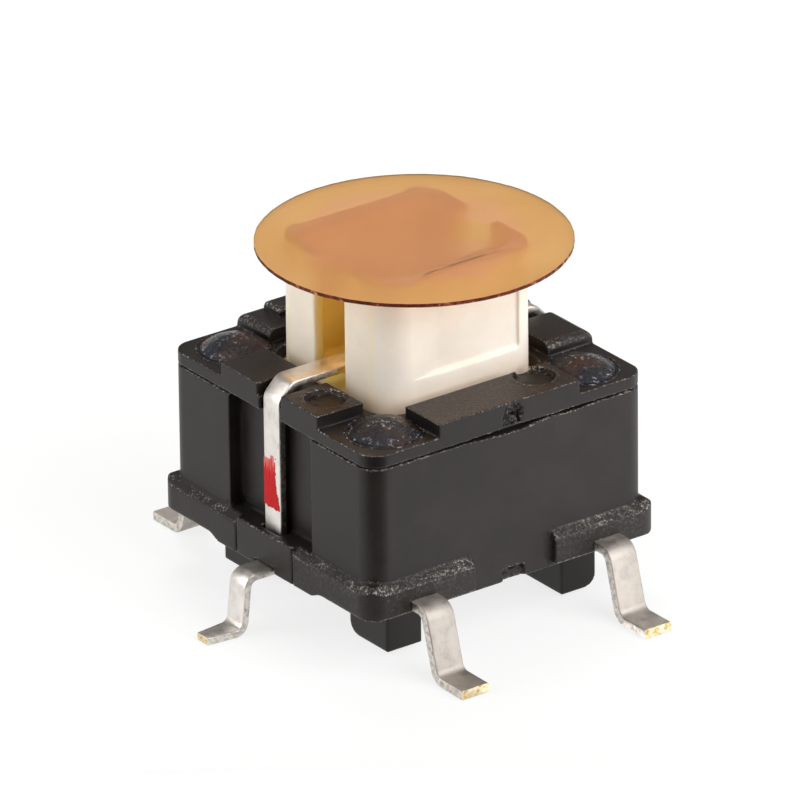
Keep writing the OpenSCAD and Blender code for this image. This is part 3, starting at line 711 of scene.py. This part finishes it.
def formed_heads():
    """The four stake heads, upset by one horn: a crown with a soft lip, and round it the low
    ring that the horn pressed into the cover."""
    inputs = {
        "Head radius": HEAD_R, "Crown height": HEAD_H - 0.1, "Lip height": 0.1,
        "Ring radius": HEAD_R + 0.09, "Ring thickness": 0.03, "Unevenness": 0.06,
        "Segments": 96, "Material": FORMED_NYLON,
    }
    tree, given = geometry_tree("Formed heads", inputs)
    ball = add(
        tree, "GeometryNodeMeshUVSphere",
        {"Segments": given["Segments"], "Rings": 48, "Radius": 1.0},
    )
    place = add(tree, "GeometryNodeInputPosition")
    axes = axes_of(tree, place)
    flat = vector_maths(tree, "MULTIPLY", place, (1, 1, 0))
    out = vector_maths(tree, "LENGTH", flat).outputs["Value"]
    squared = maths(tree, "MULTIPLY", out, out)
    inward = maths(tree, "SUBTRACT", 1.0, squared, use_clamp=True)
    bulge = maths(tree, "POWER", inward, 1.25)
    brim = maths(tree, "POWER", inward, 0.3)
    crown = maths(tree, "MULTIPLY", bulge, given["Crown height"])
    top = maths(tree, "MULTIPLY_ADD", brim, given["Lip height"], crown)
    upper = maths(tree, "GREATER_THAN", axes["Z"], 0.001)
    height = add(
        tree, "GeometryNodeSwitch", {"Switch": upper, "False": -0.06, "True": top},
        input_type="FLOAT",
    )
    wide = axes_of(tree, vector_maths(tree, "SCALE", flat, scale=given["Head radius"]))
    moved = add(tree, "ShaderNodeCombineXYZ", {"X": wide["X"], "Y": wide["Y"], "Z": height})
    crown_mesh = add(tree, "GeometryNodeSetPosition", {"Geometry": ball, "Position": moved})
    ring_path, ring_section = (
        add(
            tree, "GeometryNodeCurvePrimitiveCircle",
            {"Resolution": corners, "Radius": given[size]},
        )
        for corners, size in ((96, "Ring radius"), (8, "Ring thickness"))
    )
    ring = add(tree, "GeometryNodeCurveToMesh", {"Curve": ring_path, "Profile Curve": ring_section})
    one = add(tree, "GeometryNodeJoinGeometry", {0: crown_mesh})
    tree.links.new(ring.outputs[0], one.inputs[0])
    spots = add(tree, "GeometryNodeMeshToPoints", {"Mesh": given["Geometry"]})
    placed = add(tree, "GeometryNodeInstanceOnPoints", {"Points": spots, "Instance": one})
    real = add(tree, "GeometryNodeRealizeInstances", {"Geometry": placed})
    lumps = add(tree, "ShaderNodeTexNoise", {"Scale": 2.2, "Detail": 3.0})
    shift = vector_maths(tree, "SUBTRACT", lumps.outputs["Color"], (0.5, 0.5, 0.5))
    scaled = vector_maths(tree, "SCALE", shift, scale=given["Unevenness"])
    uneven = add(tree, "GeometryNodeSetPosition", {"Geometry": real, "Offset": scaled})
    smooth = add(tree, "GeometryNodeSetShadeSmooth", {"Geometry": uneven})
    dressed = add(
        tree, "GeometryNodeSetMaterial", {"Geometry": smooth, "Material": given["Material"]}
    )
    add(tree, "NodeGroupOutput", {0: dressed})
    stakes = [(x * STAKE_X, y * STAKE_Y, RIM_Z) for x in (-1, 1) for y in (-1, 1)]
    spots_mesh = bpy.data.meshes.new("stake_heads")
    spots_mesh.from_pydata(stakes, [], [])
    obj = new_object("stake_heads", spots_mesh)
    run_tree(obj, tree, inputs)
    return settle(obj, "housing")


# A terminal doesn't taper, so its taper starts beyond its end
TERMINAL = {
    "Width": 0.97, "Thickness": 0.3, "Bend radius": 0.4, "Edge roll": 0.05, "Reach": 7.7,
    "Taper start": 20.0, "Tip loss": 0.0, "Side axis": (1.0, 0.0, 0.0), "Unevenness": 0.05,
    "Plating": LEG_TIN, "Sheared side": SHEARED, "Cut end": BRASS,
}


def strip_tree():
    """Sweeps a punched section along a bent path, narrows its foot, and dresses its plated
    faces, sheared sides and cut end."""
    tree, given = geometry_tree("Formed strip", TERMINAL)
    path = add(tree, "GeometryNodeMeshToCurve", {"Mesh": given["Geometry"]})
    bent = add(
        tree, "GeometryNodeFilletCurve",
        {"Curve": path, "Count": 10, "Radius": given["Bend radius"], "Limit Radius": True},
        mode="POLY",
    )
    blank = add(
        tree, "GeometryNodeCurvePrimitiveQuadrilateral",
        {"Width": given["Width"], "Height": given["Thickness"]},
    )
    section = add(
        tree, "GeometryNodeFilletCurve",
        {"Curve": blank, "Count": 3, "Radius": given["Edge roll"]}, mode="POLY",
    )
    swept = add(
        tree, "GeometryNodeCurveToMesh",
        {"Curve": bent, "Profile Curve": section, "Fill Caps": True},
    )
    place = add(tree, "GeometryNodeInputPosition")
    axes = axes_of(tree, place)
    out_x = maths(tree, "ABSOLUTE", axes["X"])
    out_y = maths(tree, "ABSOLUTE", axes["Y"])
    outward = maths(tree, "MAXIMUM", out_x, out_y)
    share = fade(tree, out_x, given["Taper start"], given["Reach"])
    narrow = maths(tree, "MULTIPLY", share, given["Tip loss"])
    inward = maths(tree, "MULTIPLY", axes["Y"], narrow)
    back = maths(tree, "MULTIPLY", inward, -1.0)
    shift = add(tree, "ShaderNodeCombineXYZ", {"Y": back})
    tapered = add(tree, "GeometryNodeSetPosition", {"Geometry": swept, "Offset": shift})
    lumps = add(tree, "ShaderNodeTexNoise", {"Scale": 1.6, "Detail": 2.0}).outputs[0]
    sway = maths(tree, "SUBTRACT", lumps, 0.5)
    sway = maths(tree, "MULTIPLY", sway, given["Unevenness"])
    aside = vector_maths(tree, "SCALE", given["Side axis"], scale=sway)
    uneven = add(tree, "GeometryNodeSetPosition", {"Geometry": tapered, "Offset": aside})
    real = add(tree, "GeometryNodeRealizeInstances", {"Geometry": uneven})
    smooth = add(tree, "GeometryNodeSetShadeSmooth", {"Geometry": real})
    plated = add(
        tree, "GeometryNodeSetMaterial", {"Geometry": smooth, "Material": given["Plating"]}
    )
    facing = add(tree, "GeometryNodeInputNormal")
    turned = vector_maths(tree, "DOT_PRODUCT", facing, given["Side axis"])
    aside = maths(tree, "ABSOLUTE", turned.outputs["Value"])
    is_side = maths(tree, "GREATER_THAN", aside, 0.9)
    sheared = add(
        tree, "GeometryNodeSetMaterial",
        {"Geometry": plated, "Selection": is_side, "Material": given["Sheared side"]},
    )
    end = maths(tree, "SUBTRACT", given["Reach"], 0.02)
    at_end = maths(tree, "GREATER_THAN", outward, end)
    bared = add(
        tree, "GeometryNodeSetMaterial",
        {"Geometry": sheared, "Selection": at_end, "Material": given["Cut end"]},
    )
    add(tree, "NodeGroupOutput", {0: bared})
    return tree


STRIP_TREE = strip_tree()


def path_mesh(name, routes):
    """A mesh of open polylines, one for each route."""
    verts, edges = [], []
    for route in routes:
        start = len(verts)
        verts += route
        edges += [(start + i, start + i + 1) for i in range(len(route) - 1)]
    mesh = bpy.data.meshes.new(name)
    mesh.from_pydata(verts, edges, [])
    return mesh


def foot_corners(shelf, bend_radius, drop, lean):
    """How far out a strip's centre line turns down, past its shelf, and how far out it turns
    flat on the board, when it drops this far and leans out by this many degrees."""
    down = HALF_BODY + shelf + bend_radius * math.tan(math.radians((90 - lean) / 2))
    return down, down + drop * math.tan(math.radians(lean))


def contact_frame(name, node, x):
    """A contact frame: the embedded flat stays as in CAD, the two terminals are formed strip."""
    foot_z = TERMINAL["Thickness"] / 2
    frame_mid_z = 1.95 + foot_z
    shelf_corner, foot_corner = foot_corners(
        0.55, TERMINAL["Bend radius"], drop=frame_mid_z - foot_z, lean=16
    )
    joined_y = 4.6  # just inside the wall, where strip and flat run into each other
    routes = [
        [(x, side * joined_y, frame_mid_z), (x, side * shelf_corner, frame_mid_z),
         (x, side * foot_corner, foot_z), (x, side * TERMINAL["Reach"], foot_z)]
        for side in (-1, 1)
    ]
    obj = new_object(name, path_mesh(name, routes))
    run_tree(obj, STRIP_TREE, TERMINAL)
    mesh = realise(obj)
    flat = cad_shape(node)
    for side in (-1, 1):
        cut_off(flat, (0, side * (joined_y + 0.1), 0), (0, side, 0))
    both = bmesh.new()
    both.from_mesh(mesh)
    embedded = bpy.data.meshes.new("embedded flat")
    flat.to_mesh(embedded)
    flat.free()
    both.from_mesh(embedded)
    both.to_mesh(mesh)
    both.free()
    bpy.data.meshes.remove(embedded)
    return settle(obj, "housing", [node])


def lamp_strap(name, node, side):
    """A lamp strap: over the cover, down its recess, out under the bar and down to its foot."""
    sizes = dict(TERMINAL)
    sizes.update({
        "Width": 0.8, "Thickness": 0.24, "Bend radius": 0.33, "Reach": 7.5, "Taper start": 6.45,
        "Tip loss": 0.3, "Side axis": (0.0, 1.0, 0.0), "Plating": TIN,
    })
    half_t = sizes["Thickness"] / 2
    mid_x = STRAP_FACE_X - half_t
    out_z = 1.65 + half_t
    shelf_corner, foot_corner = foot_corners(
        0.79, sizes["Bend radius"], drop=out_z - half_t, lean=6
    )
    low, high = box_mm(node)
    inner_x = -high.x if side < 0 else low.x
    chamfer = 0.44  # the top bend was pressed flat at 45 degrees
    pressed = [(mid_x - chamfer, PAD_Z + half_t), (mid_x, PAD_Z + half_t - chamfer)]
    route = [(inner_x, PAD_Z + half_t)] + pressed + [
        (mid_x, out_z), (shelf_corner, out_z), (foot_corner, half_t), (sizes["Reach"], half_t),
    ]
    obj = new_object(name, path_mesh(name, [[(side * x, 0.0, z) for x, z in route]]))
    run_tree(obj, STRIP_TREE, sizes)
    return settle(obj, "housing", [node])


def film_disc():
    """The punched disc of film, with a slightly uneven cut edge and a faint sag at its rim."""
    centre = (film_low + film_high) / 2
    radius = (film_high.x - film_low.x) / 2
    segments, rings = 240, 16
    sag_depth, sag_from = 0.03, 0.62
    rng = random.Random(7)
    edge = []
    for i in range(segments):
        angle = 2 * math.pi * i / segments
        at = Vector((math.cos(angle), math.sin(angle), 0)) * 3.0
        loss = 0.012 * (noise.noise(at) + 1) + 0.012 * (noise.noise(at * 6) + 1)
        loss += 0.006 * rng.random()
        edge.append(radius - loss)
    shape = bmesh.new()
    outer = []
    for z in (film_high.z, film_low.z):
        middle = shape.verts.new((centre.x, centre.y, z))
        grid = []
        for r in range(1, rings + 1):
            share = r / rings
            sag = sag_depth * (max(0.0, share - sag_from) / (1 - sag_from)) ** 2
            grid.append([
                shape.verts.new((
                    centre.x + edge[i] * share * math.cos(2 * math.pi * i / segments),
                    centre.y + edge[i] * share * math.sin(2 * math.pi * i / segments), z - sag,
                ))
                for i in range(segments)
            ])
        for i in range(segments):
            j = (i + 1) % segments
            shape.faces.new([middle, grid[0][i], grid[0][j]])
            for r in range(rings - 1):
                shape.faces.new([grid[r][i], grid[r + 1][i], grid[r + 1][j], grid[r][j]])
        outer.append(grid[-1])
    for i in range(segments):
        j = (i + 1) % segments
        wall = shape.faces.new([outer[0][i], outer[1][i], outer[1][j], outer[0][j]])
        wall.material_index = 1
    bmesh.ops.recalc_face_normals(shape, faces=shape.faces)
    mesh = bpy.data.meshes.new("pickup_disc")
    shape.to_mesh(mesh)
    shape.free()
    for polygon in mesh.polygons:
        polygon.use_smooth = True
    mesh.set_sharp_from_angle(angle=math.radians(40))
    mesh.materials.append(FILM)
    mesh.materials.append(FILM_EDGE)
    return settle(new_object("pickup_disc", mesh), "plunger", ["pickup_film"])


def ink_mark():
    """The red mark: a thin ragged film of ink on the left strap's upright face."""
    columns, rows = 30, 72
    thickness = 0.012
    side_edge = [(0.0, 0.0), (0.14, 0.02), (0.32, 0.16), (0.5, 0.26), (1.0, 0.28)]

    def inked(u, v):
        """Whether the ink reaches this share of the mark's width and height."""
        at = Vector((u * 2.2, v * 5.0, 0.3))
        fray = noise.noise(at * 3.2) * 0.05 + noise.noise(at * 8.0) * 0.04
        foot = 0.03 + 0.04 * noise.noise(Vector((u * 6.0, 4.0, 0.0)))
        if u < along(side_edge, v) + fray or v < foot:
            return False
        streak = noise.noise(Vector((u * 8.0, v * 1.3, 8.0)))
        if 0.56 < v < 0.96 and abs(u - 0.62) < 0.03 + 0.05 * streak:
            return False
        top = 0.96 - 0.08 * (u > 0.62) - 0.05 * abs(streak)
        return v < top and not (v > 0.86 and streak > 0.25)

    cells = {
        (i, j) for i in range(columns) for j in range(rows)
        if inked((i + 0.5) / columns, (j + 0.5) / rows)
    }
    shape = bmesh.new()
    verts = {}

    def vert(i, j, front):
        """The corner of a cell on the ink's front or on the strap, made once."""
        if (i, j, front) not in verts:
            x = -STRAP_FACE_X - (thickness if front else 0.0)
            y = mark_low.y + (mark_high.y - mark_low.y) * i / columns
            z = mark_low.z + (mark_high.z - mark_low.z) * j / rows
            verts[i, j, front] = shape.verts.new((x, y, z))
        return verts[i, j, front]

    for i, j in cells:
        corners = [(i, j), (i + 1, j), (i + 1, j + 1), (i, j + 1)]
        shape.faces.new([vert(a, b, True) for a, b in corners])
        shape.faces.new([vert(a, b, False) for a, b in corners[::-1]])
        neighbours = [(i, j - 1), (i + 1, j), (i, j + 1), (i - 1, j)]
        for k, neighbour in enumerate(neighbours):
            if neighbour not in cells:
                a, b = corners[k], corners[(k + 1) % 4]
                wall = [vert(*b, True), vert(*a, True), vert(*a, False), vert(*b, False)]
                shape.faces.new(wall)
    bmesh.ops.recalc_face_normals(shape, faces=shape.faces)
    mesh = bpy.data.meshes.new("ink_mark")
    shape.to_mesh(mesh)
    shape.free()
    mesh.materials.append(INK)
    return settle(new_object("ink_mark", mesh), "housing", ["polarity_mark"])


mouldings()
formed_heads()
contact_frame("centre_contact_frame", "centre_frame", -TERMINAL_X)
contact_frame("outer_contact_frame", "outer_frame", TERMINAL_X)
lamp_strap("lamp_strap_marked", "lamp_strap_left", -1)
lamp_strap("lamp_strap_plain", "lamp_strap_right", 1)
film_disc()
ink_mark()
for node, material in (("contact_dome", STAINLESS), ("lamp_body", EPOXY), ("lamp_chip", CRYSTAL)):
    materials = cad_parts[node].data.materials
    materials.clear()
    materials.append(material)


# Camera: solved from the photograph's straight edges

PICTURE_WIDTH = 800


def camera(azimuth, elevation, roll, distance, focal_px, target):
    """The camera at a viewing angle in degrees, this many millimetres from its target."""
    a, e, r = (math.radians(x) for x in (azimuth, elevation, roll))
    back = Vector((math.sin(a) * math.cos(e), -math.cos(a) * math.cos(e), math.sin(e)))
    right = Vector((math.cos(a), math.sin(a), 0))
    up = back.cross(right)
    turned_right = right * math.cos(r) + up * math.sin(r)
    turned_up = up * math.cos(r) - right * math.sin(r)
    data = bpy.data.cameras.new("camera")
    data.sensor_width = 36
    data.lens = focal_px * data.sensor_width / PICTURE_WIDTH
    data.clip_start, data.clip_end = 0.01, 10
    made = new_object("camera", data)
    matrix = Matrix((turned_right, turned_up, back)).transposed().to_4x4()
    matrix.translation = (Vector(target) + back * distance) * MM
    made.matrix_world = matrix
    bpy.context.scene.camera = made


camera(
    azimuth=-36.136, elevation=24.714, roll=-0.644, distance=350.018, focal_px=12058.016,
    target=(-1.955, -2.291, 7.066),
)


# Stage: pale floor, cards that only reflections see, soft lamps

def pale_floor():
    """White paper: mostly plain white where it is seen or reflected, with the object's shadow
    on it, and lit like paper for everything else."""
    half = 0.8
    corners = [(-half, -half, 0), (half, -half, 0), (half, half, 0), (-half, half, 0)]
    mesh = bpy.data.meshes.new("floor")
    mesh.from_pydata(corners, [], [(0, 1, 2, 3)])
    floor = new_object("floor", mesh)
    material, tree, in_mm = new_material("pale_paper")
    grain = grains(tree, in_mm, 2.0, 2.0)
    tone = ramp(tree, grain, [(0.3, "#f3f3f3"), (0.7, "#f5f5f5")])
    paper = add(tree, "ShaderNodeBsdfDiffuse", {"Color": tone})
    path = add(tree, "ShaderNodeLightPath").outputs
    seen = maths(tree, "MAXIMUM", path["Is Camera Ray"], path["Is Glossy Ray"])
    seen = maths(tree, "MAXIMUM", seen, path["Is Transmission Ray"])
    share = maths(tree, "MULTIPLY", seen, 0.8)
    white = add(tree, "ShaderNodeEmission", {"Color": "#ffffff", "Strength": 1.0})
    mixed = add(tree, "ShaderNodeMixShader", {0: share, 1: paper, 2: white})
    mesh.materials.append(finish_material(material, mixed))


def reflected_card(name, corners, colour, strength, diffuse=False):
    """A glowing card that reflections see, and matt surfaces too if diffuse."""
    mesh = bpy.data.meshes.new(name)
    mesh.from_pydata([Vector(corner) * MM for corner in corners], [], [(0, 1, 2, 3)])
    card = new_object(name, mesh)
    material, tree, _ = new_material(name)
    tone = add(tree, "ShaderNodeEmission", {"Color": colour, "Strength": strength})
    mesh.materials.append(finish_material(material, tone))
    for ray in ("camera", "shadow", "transmission"):
        setattr(card, "visible_" + ray, False)
    card.visible_diffuse = diffuse


def lamp(name, direction, power, size=0.14, distance=0.16):
    """A square soft lamp that faces the middle of the object. Size and distance in metres."""
    data = bpy.data.lights.new(name, "AREA")
    data.size = size
    data.energy = power
    made = new_object(name, data)
    away = Vector(direction).normalized()
    made.location = Vector((0, 0, 5 * MM)) + away * distance
    made.rotation_mode = "QUATERNION"
    made.rotation_quaternion = away.to_track_quat("Z", "Y")


def studio_world(strength):
    """An even pale room, plain white where it is seen and dimmer in reflections."""
    world = bpy.data.worlds.new("studio")
    bpy.context.scene.world = world
    world.use_nodes = True
    tree = world.node_tree
    tree.nodes.clear()
    room = add(tree, "ShaderNodeBackground", {"Color": "#fffaf4", "Strength": strength})
    white = add(tree, "ShaderNodeBackground", {"Color": "#ffffff", "Strength": 1.0})
    path = add(tree, "ShaderNodeLightPath").outputs
    seen = maths(tree, "MAXIMUM", path["Is Camera Ray"], path["Is Transmission Ray"])
    mirrored = add(tree, "ShaderNodeBackground", {"Color": "#fffaf4", "Strength": strength * 0.6})
    lit = add(tree, "ShaderNodeMixShader", {0: path["Is Glossy Ray"], 1: room, 2: mirrored})
    mixed = add(tree, "ShaderNodeMixShader", {0: seen, 1: lit, 2: white})
    add(tree, "ShaderNodeOutputWorld", {"Surface": mixed})


pale_floor()
# The black card stands in front of the near corner and darkens the walls on both its sides
near = math.radians(-36)
before = Vector((math.sin(near), -math.cos(near), 0)) * 13
aside = Vector((math.cos(near), math.sin(near), 0)) * 9
card_top = Vector((0, 0, 9))
reflected_card(
    "black_card",
    [before - aside, before + aside, before + aside + card_top, before - aside + card_top],
    "#0c0c0c", 1.0, diffuse=True,
)
# The white card lies on the floor before the terminals, which mirror it
reflected_card(
    "white_card", [(-3, -60, 0.02), (60, -60, 0.02), (60, -6.5, 0.02), (-3, -6.5, 0.02)],
    "#ffffff", 1.6,
)
lamp("left_softbox", (-0.85, 0.35, 0.45), 0.16)
lamp("right_softbox", (0.35, -1.1, 0.75), 0.3)
lamp("top_softbox", (0.2, 0.34, 0.9), 0.08, size=0.05)
studio_world(0.42)

bpy.context.scene.view_settings.view_transform = "Standard"
